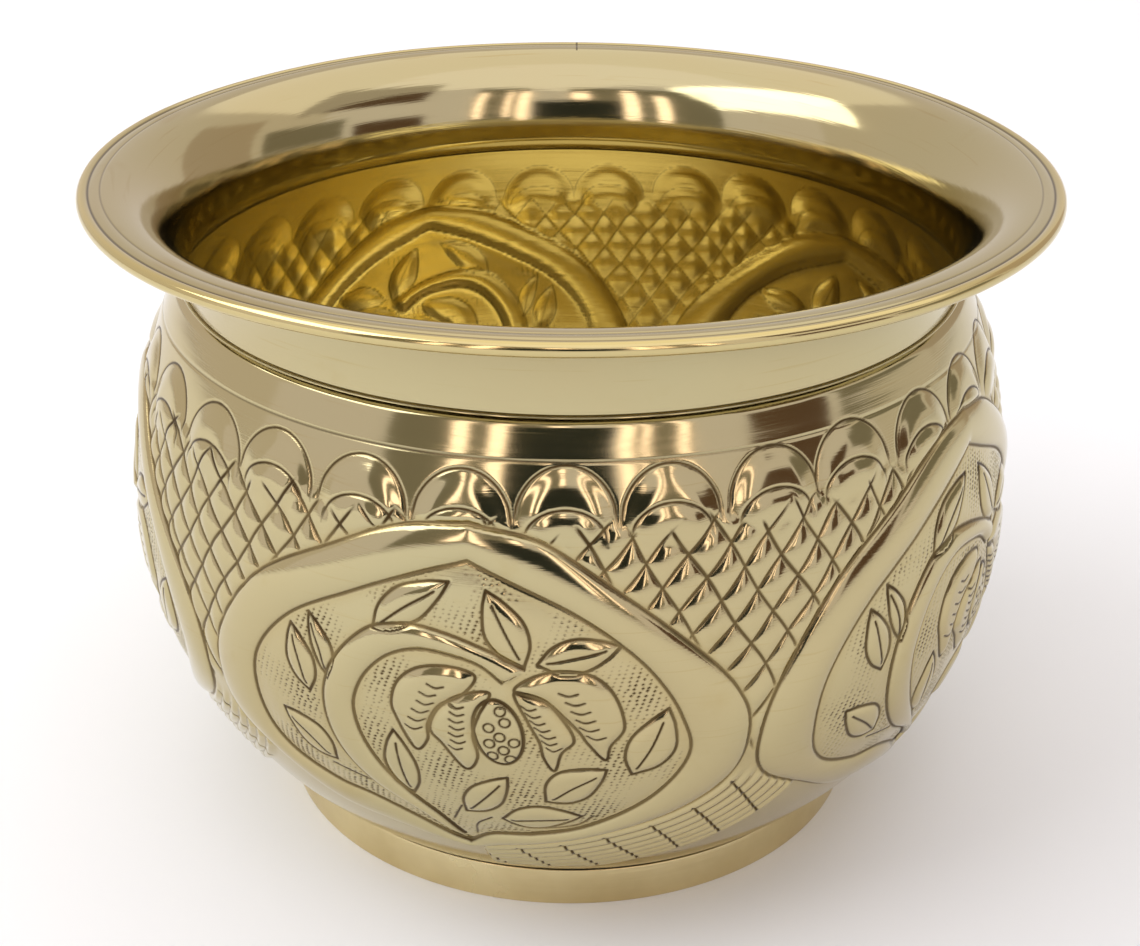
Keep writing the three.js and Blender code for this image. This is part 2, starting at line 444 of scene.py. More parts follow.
def punched_dots(patch, random):
    """Small pits in leaning rows, worn away here and there."""
    pitch_rows = max(3, int(round(DOT_ROW_PITCH / row_step)))
    pitch_cols = max(3, int(round(DOT_COLUMN_PITCH / (column_step * math.radians(BELLY_RADIUS)))))
    out = np.zeros(patch.shape)
    lean = random.uniform(0.1, 0.25)
    for i, row in enumerate(range(2, patch.shape[0] - 2, pitch_rows)):
        start = 2 + int(i * lean * pitch_cols) % pitch_cols
        for column in range(start, patch.shape[1] - 2, pitch_cols):
            r0 = min(max(row + int(random.random() < DOT_JITTER), 1), patch.shape[0] - 2)
            c0 = min(max(column + int(random.random() < DOT_JITTER), 1), patch.shape[1] - 2)
            worn = math.sin(patch.deg[c0] * 0.43 + i * 0.11) * math.sin(i * 0.19 - patch.deg[c0] * 0.21)
            strength = max(0.0, 0.5 + 0.6 * worn + random.uniform(-0.12, 0.12))
            dy = np.arange(-1, 2) * row_step
            dx = np.arange(-1, 2) * column_step * math.radians(patch.r[r0])
            pit = np.exp(-((dy[:, None] / DOT_HALF_HEIGHT) ** 2) - (dx[None] / DOT_HALF_WIDTH) ** 2)
            block = out[r0 - 1:r0 + 2, c0 - 1:c0 + 2]
            np.maximum(block, strength * pit, out=block)
    return out


# ---- Row of double scallops under the shoulder -------------------------------------------------

SCALLOPS = 29
SCALLOP_TOP = 143.4
SCALLOP_LINE = 0.38
INNER_SCALLOP_DROP = 8.6
# Outer and inner arch: half width in degrees, height, rise of the sheet, length of the legs.
OUTER_ARCH = (5.85, 12.0, 1.0, 1.5)
INNER_ARCH = (4.7, 7.0, 0.7, 1.0)


def arch(centre, top, half_width, tall, legs):
    """Points of a round arch whose legs run straight down."""
    angles = np.linspace(math.pi, 0, 9)
    run = [(centre + half_width * math.cos(t), top - tall + tall * math.sin(t)) for t in angles]
    return [(run[0][0] - 0.1, run[0][1] - legs)] + run + [(run[-1][0] + 0.1, run[-1][1] - legs)]


def draw_scallops():
    for k in range(SCALLOPS):
        centre = -0.5 + k * 360.0 / SCALLOPS + rng.normal(0, 0.35)
        centre = (centre + 180.0) % 360.0 - 180.0
        top = SCALLOP_TOP + 2.2 * math.sin(math.radians(centre - 8)) + rng.normal(0, 0.45)
        patch = Patch(centre, 9, 112, 151)
        offset = patch.A - centre
        h = np.zeros(patch.shape)
        dark = np.zeros(patch.shape)
        inner_drop = INNER_SCALLOP_DROP + rng.normal(0, 0.6)
        for drop, (half_width, tall, rise, legs) in ((0.0, OUTER_ARCH), (inner_drop, INNER_ARCH)):
            peak = top - drop
            spring = peak - tall
            bow = np.where(patch.Z > spring, ((patch.Z - spring) / tall) ** 2, 0.0)
            body = 1.0 - (offset / half_width) ** 2 - bow
            fade = smooth((patch.Z - (spring - 7.0)) / 9.0)
            h += rise * smooth(body / 0.8) * fade
            d = patch.distance(spline(arch(centre, peak, half_width, tall, legs)), LINE_REACH)
            weight = 0.35 + 0.65 * smooth((patch.Z - (spring - legs)) / 4.0)
            dark = np.maximum(dark, weight * line_profile(d, SCALLOP_LINE) * 0.8)
        for field, drawn in ((height, h), (groove, dark), (cut, dark * 0.9)):
            field[patch.index] = np.maximum(field[patch.index], drawn)


# ---- Lattice and hatching between the medallions -----------------------------------------------

# For the gap after each medallion, the two families of lines: how far a line moves sideways for
# each mm down, and the spacing of neighbours, both in degrees. No two gaps were ruled alike.
LATTICES = [((0.29, 5.2), (0.43, 4.3)), ((0.42, 4.8), (0.36, 4.6)), ((0.35, 4.6), (0.41, 5.0)),
            ((0.39, 5.0), (0.33, 4.5)), ((0.46, 4.9), (0.33, 4.8))]
LATTICE_TOP = 131.5
LATTICE_FOOT = 66.0
LATTICE_MIDDLE = 105.0  # height at which the two families of lines meet the gap's middle
LATTICE_LINE = 0.38
DIAMOND_RISE = 0.8
ACROSS = 0.77  # a leaning line is thinner across than along the horizontal
FLUTE_RISE = 1.15
FLUTE_PITCH = 3.4
FLUTES = 7
CUT_PITCH = 7.2  # degrees between the cuts that cross the flutes
CUT_LEAN = 0.38


def side_at(z, medallion, side):
    """Angle of a medallion's outer outline at a height, on its right (1) or left (-1) side."""
    points = place(OUTER, medallion)
    half = points[OUTER_TIP::-1] if side > 0 else np.vstack([points[OUTER_TIP:], points[:1]])
    return np.interp(z, half[:, 1], half[:, 0])


def ridge_lines(value, pitch):
    """Distance to the nearest multiple of pitch, and the pillow between neighbours."""
    phase = value / pitch
    return np.abs(phase - np.rint(phase)) * pitch, np.abs(np.sin(np.pi * phase))


def draw_gap(left, right, families):
    middle = (left[0] + right[0]) / 2
    patch = Patch(middle, (right[0] - left[0]) / 2 + 0.2, BELLY_START, 140)
    index = patch.index
    mm = np.radians(1.0) * patch.r[:, None]
    wobble = 0.22 * np.sin(patch.A * 0.61 + patch.Z * 0.11)
    wobble += 0.2 * np.sin(patch.A * 0.37 - patch.Z * 0.17)
    after = patch.A > side_at(patch.Z, left, 1)
    before = patch.A < side_at(patch.Z, right, -1)

    # upper part: two families of leaning lines, with a raised diamond in each mesh
    drop = LATTICE_MIDDLE - patch.Z
    drop = drop - 0.008 * np.maximum(drop - 8.0, 0.0) ** 2
    (lean_right, pitch_right), (lean_left, pitch_left) = families
    d1, p1 = ridge_lines(patch.A - middle - lean_right * drop + wobble, pitch_right)
    d2, p2 = ridge_lines(patch.A - middle + lean_left * drop + wobble * 0.8 + 1.1, pitch_left)
    across = ACROSS * mm
    ragged = LATTICE_TOP + 2.0 * np.sin(np.radians(patch.A * 360 / 12.4))
    zone = smooth((ragged - patch.Z) / 3.0) * smooth((patch.Z - LATTICE_FOOT) / 6.0) * after * before
    diamonds = DIAMOND_RISE * (p1 * p2) ** 0.8
    line = np.maximum(line_profile(d1 * across, LATTICE_LINE), line_profile(d2 * across, LATTICE_LINE))

    # lower part: flutes that follow the left neighbour's outline, crossed by long cuts
    outline = corner_spline(place(OUTER, left), (0, OUTER_TIP))
    reach = FLUTE_PITCH * (FLUTES + 0.5)
    away = patch.distance(outline, reach)
    _, p3 = ridge_lines(away, FLUTE_PITCH)
    inside_reach = smooth((FLUTE_PITCH * FLUTES - away) / 1.5)
    floor_z = 20.0 + 0.6 * np.maximum(patch.A - left[0] - 29.0, 0.0)
    low = smooth((64.0 - patch.Z) / 8.0) * smooth((patch.Z - floor_z) / 3.0) * before
    low = low * inside_reach * ~patch.inside(outline) * (patch.A > left[0] - 2.0)
    slanted = patch.A - left[0] + (patch.Z - 34.0) * CUT_LEAN - 4.7
    d4, _ = ridge_lines(slanted + wobble * 0.5, CUT_PITCH)
    strokes = line_profile(d4 * mm * 0.8, LATTICE_LINE) * smooth((away - 1.2) / 0.8)

    height[index] = np.maximum(height[index], zone * diamonds + low * FLUTE_RISE * p3**0.8)
    valley = line_profile(p3 * 1.6, 0.36)
    mark = np.maximum(zone * line * 0.85, low * strokes * 0.85)
    mark = np.maximum(mark, low * valley * 0.5)
    groove[index] = np.maximum(groove[index], mark)
    cut[index] = np.maximum(cut[index], np.maximum(zone * line, low * strokes))


SCRIBED_LINES = [(144.3, 0.55), (14.4, 0.4)]  # height, strength
SCRIBED_WIDTH = 0.36


def draw_scribed_lines():
    """Turned circles: one under the shoulder's edge, one above the foot."""
    for z, weight in SCRIBED_LINES:
        line = line_profile(np.abs(along(z) - row_s)[:, None], SCRIBED_WIDTH)
        patchy = 0.7 + 0.3 * np.sin(np.radians(GRID_A * 3 + z))
        np.maximum(groove, weight * patchy * line, out=groove)
        np.maximum(cut, weight * line, out=cut)


def soften(field, rows, columns):
    """Box blur, wrapped around the bowl."""
    out = field.copy()
    for axis, size in ((0, rows), (1, columns)):
        total = np.zeros_like(out)
        for shift in range(-size, size + 1):
            if axis == 1:
                total += np.roll(out, shift, 1)
            else:
                total += out[np.clip(np.arange(ROWS) + shift, 0, ROWS - 1)]
        out = total / (2 * size + 1)
    return out


draw_scallops()
for number, medallion in enumerate(MEDALLIONS):
    axis, *scales = MEDALLIONS[(number + 1) % len(MEDALLIONS)]
    turn = 360.0 if axis < medallion[0] else 0.0
    draw_gap(medallion, (axis + turn, *scales), LATTICES[number])
for number, medallion in enumerate(MEDALLIONS):
    draw_medallion(medallion, 100 + number)
draw_scribed_lines()

BLUR = 2
height = soften(height, BLUR, BLUR)
dents = (0.35 * np.sin(np.radians(GRID_A * 2 + 40)) * np.sin(GRID_Z / 31.0)
         + 0.22 * np.sin(np.radians(GRID_A * 5 + 10) + GRID_Z / 17.0)
         + 0.12 * np.sin(np.radians(GRID_A * 11) - GRID_Z / 9.0))
edge_fade = smooth((GRID_Z - BELLY_START) / 8.0) * smooth((SHOULDER_TOP - GRID_Z) / 6.0)
height = (height + dents * 0.5) * edge_fade

# ---- Meshes ------------------------------------------------------------------------------------


def ring_points(radius, z, degrees):
    """Points (..., 3) in metres at (radius, height) mm and angles in degrees."""
    t = np.radians(degrees)
    return np.stack([radius * np.sin(t), -radius * np.cos(t), z + 0 * t], -1) * MM


def grid_faces(rows, columns):
    """Quads of a grid that closes around its columns."""
    i, j = np.meshgrid(np.arange(rows - 1), np.arange(columns), indexing="ij")
    low, high = i * columns, (i + 1) * columns
    following = (j + 1) % columns
    return np.stack([low + j, low + following, high + following, high + j], -1).reshape(-1, 4)


def fill(items, key, values, kind=np.float32):
    items.foreach_set(key, np.ascontiguousarray(values, kind).ravel())


def build_mesh(name, vertices, quads, uvs, materials, slots=None):
    """A smooth-shaded object from arrays. uvs has one (u, v) for each corner of each quad."""
    mesh = bpy.data.meshes.new(name)
    mesh.vertices.add(len(vertices))
    fill(mesh.vertices, "co", vertices)
    mesh.loops.add(quads.size)
    fill(mesh.loops, "vertex_index", quads, np.int32)
    mesh.polygons.add(len(quads))
    fill(mesh.polygons, "loop_start", np.arange(0, quads.size, 4), np.int32)
    mesh.update(calc_edges=True)
    fill(mesh.polygons, "use_smooth", np.ones(len(quads)), bool)
    if slots is not None:
        fill(mesh.polygons, "material_index", slots, np.int32)
    fill(mesh.uv_layers.new(name="OFBake").data, "uv", uvs)
    for material in materials:
        mesh.materials.append(material)
    mesh.validate()
    mesh.update()
    piece = bpy.data.objects.new(name, mesh)
    bpy.context.scene.collection.objects.link(piece)
    return piece


U_LOW, U_HIGH = 0.002, 0.998


def strip_uvs(rows, columns, v_of_row):
    """Corner uvs for grid_faces: angle across, v_of_row up."""
    i, j = np.meshgrid(np.arange(rows - 1), np.arange(columns), indexing="ij")
    left = U_LOW + (U_HIGH - U_LOW) * j / columns
    right = U_LOW + (U_HIGH - U_LOW) * (j + 1) / columns
    low, high = v_of_row[i], v_of_row[i + 1]
    corners = [np.stack(corner, -1) for corner in ((left, low), (right, low), (right, high), (left, high))]
    return np.stack(corners, -2).reshape(-1, 4, 2)


def add_attribute(piece, name, values):
    """Stores one number for each point, for the materials."""
    fill(piece.data.attributes.new(name, "FLOAT", "POINT").data, "value", values)


def belly_piece(materials):
    """The body sheet: chased outside, its reverse inside, a cut top edge and a flat bottom."""
    # underside of the bottom, from near the axis out to the belly
    slope = (belly_radius(np.array(BELLY_START + 0.01)) - belly_radius(np.array(BELLY_START))) / 0.01
    start_r = float(belly_radius(np.array(BELLY_START)))
    knee = start_r - (BELLY_START - BOTTOM_HEIGHT) * float(slope)

    def bottom_rows(inset, radii):
        t = np.linspace(0, 1, 7)[:-1]
        flat_r = BOTTOM_FLAT_RADIUS - inset
        bend_r = (1 - t) ** 2 * flat_r + 2 * t * (1 - t) * (knee - inset) + t**2 * (start_r - inset * 0.9)
        bend_z = BOTTOM_HEIGHT + inset + t**2 * (BELLY_START - BOTTOM_HEIGHT)
        flat_z = np.full(len(radii), BOTTOM_HEIGHT + inset)
        return np.concatenate([radii, bend_r]), np.concatenate([flat_z, bend_z])

    radii = np.array([0.5, 12.0, 30.0, 50.0, 66.0])
    under_r, under_z = bottom_rows(0.0, radii)
    floor_radii = np.linspace(0.5, 73.0, 26)
    floor_r, floor_z = bottom_rows(BODY_SHEET, floor_radii)

    outer_move = height - LINE_DEPTH * cut
    normal_r, normal_z = profile_normals()
    near_edge = np.clip((row_z - (SHOULDER_TOP - EDGE_ROUNDING_HEIGHT)) / EDGE_ROUNDING_HEIGHT, 0, 1)
    rounding = EDGE_ROUNDING * near_edge**2
    outer_r = (row_r - rounding)[:, None] + outer_move * normal_r[:, None]
    outer_z = row_z[:, None] + outer_move * normal_z[:, None]

    pick = np.linspace(0, ROWS - 1, INNER_ROWS).round().astype(int)
    inner_move = soften(height, 2 * BLUR, 2 * BLUR)[pick]
    inner_move = inner_move - 0.35 * soften(cut, BLUR, BLUR)[pick] * LINE_DEPTH
    inner_move = inner_move - BODY_SHEET
    inner_r = row_r[pick][:, None] + inner_move * normal_r[pick][:, None]
    inner_z = row_z[pick][:, None] + inner_move * normal_z[pick][:, None]
    inner_z[-1] = SHOULDER_TOP

    def all_around(values):
        return np.repeat(values[:, None], COLUMNS, 1)

    radius = np.vstack([all_around(under_r), outer_r, inner_r[::-1], all_around(floor_r[::-1])])
    level = np.vstack([all_around(under_z), outer_z, inner_z[::-1], all_around(floor_z[::-1])])
    total = len(radius)
    vertices = ring_points(radius, level, np.repeat(column_deg[None], total, 0)).reshape(-1, 3)
    quads = grid_faces(total, COLUMNS)

    # strips of the bake map: underside, outside in two halves, inside, floor
    counts = [len(under_r), ROWS, INNER_ROWS, len(floor_r)]
    spans = [(0.955, 0.995), (0.005, 0.405), (0.95, 0.83), (0.82, 0.825)]
    v = np.concatenate([np.linspace(a, b, n) for (a, b), n in zip(spans, counts)])
    uvs = strip_uvs(total, COLUMNS, v)
    outside = np.zeros(total - 1, bool)
    outside[counts[0] - 1:counts[0] + ROWS - 1] = True
    face_rows = np.repeat(outside, COLUMNS)
    half = COLUMNS // 2
    face_columns = np.tile(np.arange(COLUMNS), total - 1)
    first = face_rows & (face_columns < half)
    second = face_rows & (face_columns >= half)
    uvs[first, :, 0] = uvs[first, :, 0] * 2.0 - U_LOW
    uvs[second, :, 0] = uvs[second, :, 0] * 2.0 - U_HIGH
    uvs[second, :, 1] += 0.41
    slots = np.zeros(total - 1, int)
    slots[counts[0] + ROWS - 1:] = 1

    piece = build_mesh("belly", vertices, quads, uvs, materials, np.repeat(slots, COLUMNS))
    # hollow is how far a point lies below its surroundings; the materials use it for painted shade,
    # darkening the relief's recesses outside and, reversed, inside
    hollow = np.clip(-curvature(height), -1, 1)
    for name, outer, inner in (("tarnish", groove, 0.5 * groove), ("hollow", hollow, -hollow)):
        rows = [np.zeros((counts[0], COLUMNS)), outer, inner[pick][::-1], np.zeros((counts[3], COLUMNS))]
        add_attribute(piece, name, np.vstack(rows))
    return piece


def profile_normals():
    """Outward normal of the belly's profile at each row."""
    dr = np.gradient(row_r, row_s)
    dz = np.gradient(row_z, row_s)
    size = np.hypot(dr, dz)
    return dz / size, -dr / size


def curvature(field):
    """How far a point stands above its surroundings: crests are positive."""
    wide = soften(field, 5 * BLUR, 5 * BLUR)
    return (field - wide) / 0.5


def turned_piece(name, profile, materials, segments, lift=None, roundness=None):
    """A closed profile of (radius, height) turned around the axis.

    lift and roundness are small unevenness of height and of radius.
    """
    p = np.array(profile, float)
    degrees = np.arange(segments) * 360.0 / segments - 180.0
    radius = np.repeat(p[:, 0][:, None], segments, 1)
    level = np.repeat(p[:, 1][:, None], segments, 1)
    if lift is not None:
        level = level + lift(radius, level, degrees[None])
    if roundness is not None:
        radius = radius + roundness(radius, level, degrees[None])
    radius = np.vstack([radius, radius[:1]])
    level = np.vstack([level, level[:1]])
    count = len(p)
    vertices = ring_points(radius[:-1], level[:-1], np.repeat(degrees[None], count, 0)).reshape(-1, 3)
    quads = grid_faces(count + 1, segments) % (count * segments)
    steps = np.hypot(*np.diff(np.vstack([p, p[:1]]), axis=0).T)
    v = 0.01 + 0.98 * np.concatenate([[0.0], np.cumsum(steps)]) / steps.sum()
    uvs = strip_uvs(count + 1, segments, v)
    return build_mesh(name, vertices, quads, uvs, materials)


def arc_points(centre_r, centre_z, radius_r, radius_z, start, end, count):
    """Points on an elliptical arc; angles in degrees."""
    t = np.radians(np.linspace(start, end, count))
    return [(centre_r + radius_r * math.cos(a), centre_z + radius_z * math.sin(a)) for a in t]


def rim_lift(radius, level, degrees):
    """The hand-made rim leans a little and is slightly wavy, from the throat outwards."""
    t = np.radians(degrees)
    amount = smooth((level - SHOULDER_TOP) / (LIP_TOP - SHOULDER_TOP))
    return amount * (1.5 * np.cos(t) + 0.35 * np.cos(2 * t) + 0.12 * np.sin(2 * t)
                     + 0.1 * np.cos(5 * t + 1.0) + 0.06 * np.sin(9 * t))


def neck_piece(materials):
    """Hem, cove, flared lip and rolled edge, all of one sheet."""
    bead_r = RIM_RADIUS - BEAD_RADIUS
    bead_z = LIP_TOP - BEAD_RADIUS
    hollow = BEAD_RADIUS - NECK_SHEET
    cove_r = COVE_CENTRE_RADIUS - NECK_RADIUS
    cove_z = LIP_TOP - NECK_SHEET - SHOULDER_TOP
    hem = SHOULDER_TOP - HEM_DEPTH
    hem_r = float(belly_radius(np.array(hem))) - BODY_SHEET - 0.15  # the hem lies against the wall
    under = arc_points(COVE_CENTRE_RADIUS, SHOULDER_TOP, cove_r, cove_z, 180, 90, 40)
    curl_in = arc_points(bead_r, bead_z, hollow, hollow, 90, -190, 30)
    curl_out = arc_points(bead_r, bead_z, BEAD_RADIUS, BEAD_RADIUS, -190, 126, 54)
    # a groove parts the bead from the flat lip, and a scribed circle runs inside the lip
    lip = [(bead_r - 1.2, LIP_TOP - 0.5), (bead_r - 1.5, LIP_TOP - 0.44), (bead_r - 1.9, LIP_TOP - 0.26),
           (bead_r - 2.6, LIP_TOP - 0.16), (COVE_CENTRE_RADIUS + 0.9, LIP_TOP - 0.05),
           (COVE_CENTRE_RADIUS + 0.65, LIP_TOP - 0.22), (COVE_CENTRE_RADIUS + 0.4, LIP_TOP - 0.03)]
    over = arc_points(COVE_CENTRE_RADIUS, SHOULDER_TOP, cove_r + NECK_SHEET, cove_z + NECK_SHEET,
                      90, 180, 56)
    hem_out = [(hem_r, hem), (hem_r - 1.1, hem + 1.9), (NECK_RADIUS + 0.35, SHOULDER_TOP - 1.2)]
    hem_in = [(r - NECK_SHEET, z) for r, z in hem_out[::-1]]
    profile = hem_out + under + curl_in[1:] + curl_out + lip + over + hem_in
    return turned_piece("neck_and_lip", profile, materials, 720, rim_lift)


def wire_piece(materials):
    """The round wire inside the rolled edge."""
    profile = arc_points(RIM_RADIUS - BEAD_RADIUS, LIP_TOP - BEAD_RADIUS, WIRE_RADIUS, WIRE_RADIUS,
                         0, -330, 12)
    return turned_piece("stiffening_wire", profile[::-1], materials, 360, rim_lift)


def foot_piece(materials):
    """The plain hoop, with soft edges and an inturned flange to stand on."""
    inner = FOOT_RADIUS - FOOT_SHEET
    inner_top = belly_underside(inner) - 0.45
    soft = 0.45
    profile = ([(FLANGE_RADIUS, 0.0)] + arc_points(FOOT_RADIUS - soft, soft, soft, soft, -90, 0, 6)
               + [(FOOT_RADIUS + 0.12, 3.0), (FOOT_RADIUS + 0.18, 5.5), (FOOT_RADIUS + 0.1, 8.0)]
               + arc_points(FOOT_RADIUS - 0.3, FOOT_TOP - 0.35, 0.3, 0.3, 0, 70, 4)
               + [(inner, inner_top), (inner, FOOT_SHEET), (FLANGE_RADIUS, FOOT_SHEET)])

    def wobble(radius, level, degrees):
        return 0.15 * np.sin(np.radians(degrees * 3)) * smooth(level / 3)

    return turned_piece("foot_hoop", profile, materials, 480, None, wobble)


def neck_solder_piece(materials):
    """A bright ramp from the rounded top edge of the body up to the cove."""
    base = SHOULDER_TOP - 0.3
    edge = float(belly_radius(np.array(SHOULDER_TOP))) - 0.97
    run = edge - NECK_RADIUS
    profile = [(NECK_RADIUS + 0.05, base), (edge - 0.1, base), (edge, SHOULDER_TOP),
               (edge - 0.05 * run, SHOULDER_TOP + 0.04 * run),
               (NECK_RADIUS + 0.08 * run, SHOULDER_TOP + 0.72 * run)]

    def uneven(radius, level, degrees):
        return 0.03 * np.sin(np.radians(degrees * 17)) * (level > SHOULDER_TOP + 0.3)

    return turned_piece("neck_solder", profile, materials, 360, None, uneven)


def foot_solder_piece(materials):
    """Solder in the corner between the hoop and the belly's underside."""
    outer = FOOT_RADIUS - FOOT_SHEET - 0.1
    top = belly_underside(outer) - 0.3
    profile = [(outer, top - 2.3), (outer, top), (outer - 2.6, BOTTOM_HEIGHT - 0.1),
               (outer - 1.0, top - 1.7)]

    def uneven(radius, level, degrees):
        return 0.2 * np.sin(np.radians(degrees * 13)) * (radius < outer - 0.5)

    return turned_piece("foot_solder", profile, materials, 240, None, uneven)


# ---- Materials ---------------------------------------------------------------------------------


class Nodes:
    """Small helper that adds nodes to a tree."""

    def __init__(self, tree):
        self.tree = tree

    def node(self, kind, **inputs):
        n = self.tree.nodes.new(kind)
        for key, value in inputs.items():
            self.put(n.inputs[key.replace("_", " ")], value)
        return n

    def put(self, socket, value):
        if isinstance(value, bpy.types.NodeSocket):
            self.tree.links.new(value, socket)
        else:
            socket.default_value = value

    def math(self, operation, a, b=0.0, c=0.0, clamp=False):
        n = self.tree.nodes.new("ShaderNodeMath")
        n.operation = operation
        n.use_clamp = clamp
        for socket, value in zip(n.inputs, (a, b, c)):
            self.put(socket, value)
        return n.outputs[0]

    def mix(self, factor, a, b):
        n = self.tree.nodes.new("ShaderNodeMix")
        n.data_type = "RGBA"
        self.put(n.inputs[0], factor)
        for socket, value in ((n.inputs[6], a), (n.inputs[7], b)):
            self.put(socket, value if isinstance(value, bpy.types.NodeSocket) else (*value, 1))
        return n.outputs[2]


class Shader(Nodes):
    """A metal under construction."""

    def __init__(self, name):
        self.material = bpy.data.materials.new(name)
        self.material.use_nodes = True
        super().__init__(self.material.node_tree)
        self.bsdf = self.tree.nodes["Principled BSDF"]
        self.bsdf.inputs["Metallic"].default_value = 1.0
        self.where = self.tree.nodes.new("ShaderNodeTexCoord").outputs["Object"]

    def noise(self, scale, detail=3.0, rough=0.5, stretch=(1, 1, 1), distortion=0.0):
        mapping = self.node("ShaderNodeMapping", Vector=self.where, Scale=stretch)
        n = self.node("ShaderNodeTexNoise", Vector=mapping.outputs[0], Scale=scale, Detail=detail,
                      Roughness=rough, Distortion=distortion)
        return n.outputs["Fac"]

    def ramp(self, value, stops):
        n = self.tree.nodes.new("ShaderNodeValToRGB")
        self.put(n.inputs[0], value)
        while len(n.color_ramp.elements) < len(stops):
            n.color_ramp.elements.new(0.5)
        for element, (position, level) in zip(n.color_ramp.elements, stops):
            element.position = position
            element.color = (level, level, level, 1)
        return n.outputs[0]

    def attribute(self, name):
        n = self.tree.nodes.new("ShaderNodeAttribute")
        n.attribute_name = name
        return n.outputs["Fac"]

    def axis_distance(self):
        """Distance from the bowl's axis, in metres."""
        flat = self.node("ShaderNodeVectorMath", Vector=self.where)
        flat.operation = "MULTIPLY"
        flat.inputs[1].default_value = (1, 1, 0)
        length = self.node("ShaderNodeVectorMath", Vector=flat.outputs[0])
        length.operation = "LENGTH"
        return length.outputs["Value"]

    def bump(self, value, distance, strength=1.0):
        n = self.node("ShaderNodeBump", Height=value, Distance=distance, Strength=strength)
        return n.outputs[0]


BRASS = (0.50, 0.44, 0.25)
BRASS_WARM = (0.51, 0.42, 0.225)
BRASS_DEEP = (0.44, 0.34, 0.15)
# painted highlight: a lighter, yellower brass laid on the rolled bead
PAINTED_BEAD_HIGHLIGHT = (0.66, 0.54, 0.24)
PATINA = (0.07, 0.045, 0.018)
GOLD = (0.80, 0.70, 0.35)
GOLD_DARK = (0.58, 0.47, 0.18)
AROUND = (1, 1, 70)  # stretches a pattern into streaks that run around the axis
LIP_LEVEL = SHOULDER_TOP + 18  # above it is only the lip
JOINT_EAST = 0.0015
JOINT_HALF_WIDTH = 0.0003
JOINT_NORTH = 0.117


def ring_mask(s, radius, width):
    """1 on a ring of the lip, fading to 0 beside it; lengths in mm."""
    z = s.node("ShaderNodeSeparateXYZ", Vector=s.where).outputs[2]
    off = s.math("ABSOLUTE", s.math("SUBTRACT", s.axis_distance(), radius * MM))
    near = s.math("SUBTRACT", 1.0, s.math("DIVIDE", off, width * MM), clamp=True)
    return s.math("MULTIPLY", near, s.math("GREATER_THAN", z, LIP_LEVEL * MM))


def polished_brass(name, rough, chased=False):
    """Brass brushed around the axis. The chased sheet also has tarnished lines."""
    s = Shader(name)
    cloud = s.noise(9.0, 3.0, 0.55)
    streak = s.noise(14.0, 4.0, 0.6, AROUND)
    fine = s.noise(60.0, 2.0, 0.5, (1, 1, 50))
    colour = s.mix(s.ramp(cloud, [(0.35, 0), (0.7, 1)]), BRASS, BRASS_WARM)
    spots = s.ramp(s.noise(55.0, 4.0, 0.6), [(0.62, 0), (0.78, 0.35)])
    colour = s.mix(spots, colour, BRASS_DEEP)
    scratch = s.noise(30.0, 2.0, 0.4, (1, 1, 60), 0.3)
    scratch = s.ramp(scratch, [(0.66, 0), (0.74, 0.4)])
    colour = s.mix(scratch, colour, BRASS_DEEP)
    rough_value = s.math("MULTIPLY_ADD", streak, 0.08, rough - 0.04)
    rough_value = s.math("MULTIPLY_ADD", cloud, 0.05, rough_value)
    if chased:
        tarnish = s.attribute("tarnish")
        colour = s.mix(s.ramp(tarnish, [(0.12, 0), (0.62, 1)]), colour, PATINA)
        # painted shade: the relief's hollows are darkened towards deep brass
        low = s.ramp(s.attribute("hollow"), [(0.05, 0), (0.9, 0.45)])
        colour = s.mix(low, colour, BRASS_DEEP)
        rough_value = s.math("MULTIPLY_ADD", tarnish, 0.35, rough_value)
    else:
        # the rolled bead painted lighter as a painted highlight, the groove beside it, a scratch at the
        # rear, a scribed circle
        bead = RIM_RADIUS - BEAD_RADIUS
        colour = s.mix(ring_mask(s, bead + 0.6, 2.2), colour, PAINTED_BEAD_HIGHLIGHT)
        colour = s.mix(ring_mask(s, bead - 1.3, 0.5), colour, PATINA)
        east, north, _ = s.node("ShaderNodeSeparateXYZ", Vector=s.where).outputs
        beside = s.math("ABSOLUTE", s.math("SUBTRACT", east, JOINT_EAST))
        beside = s.math("LESS_THAN", beside, JOINT_HALF_WIDTH)
        joint = s.math("MULTIPLY", beside, s.math("GREATER_THAN", north, JOINT_NORTH))
        colour = s.mix(s.math("MULTIPLY", joint, 0.7), colour, PATINA)
        faint = s.math("MULTIPLY", ring_mask(s, COVE_CENTRE_RADIUS + 0.65, 0.4), 0.5)
        colour = s.mix(faint, colour, PATINA)
    s.put(s.bsdf.inputs["Base Color"], colour)
    s.put(s.bsdf.inputs["Roughness"], rough_value)
    grain = s.math("MULTIPLY_ADD", streak, 0.7, s.math("MULTIPLY", fine, 0.5))
    s.put(s.bsdf.inputs["Normal"], s.bump(grain, 0.00006, 0.4))
    return s.material


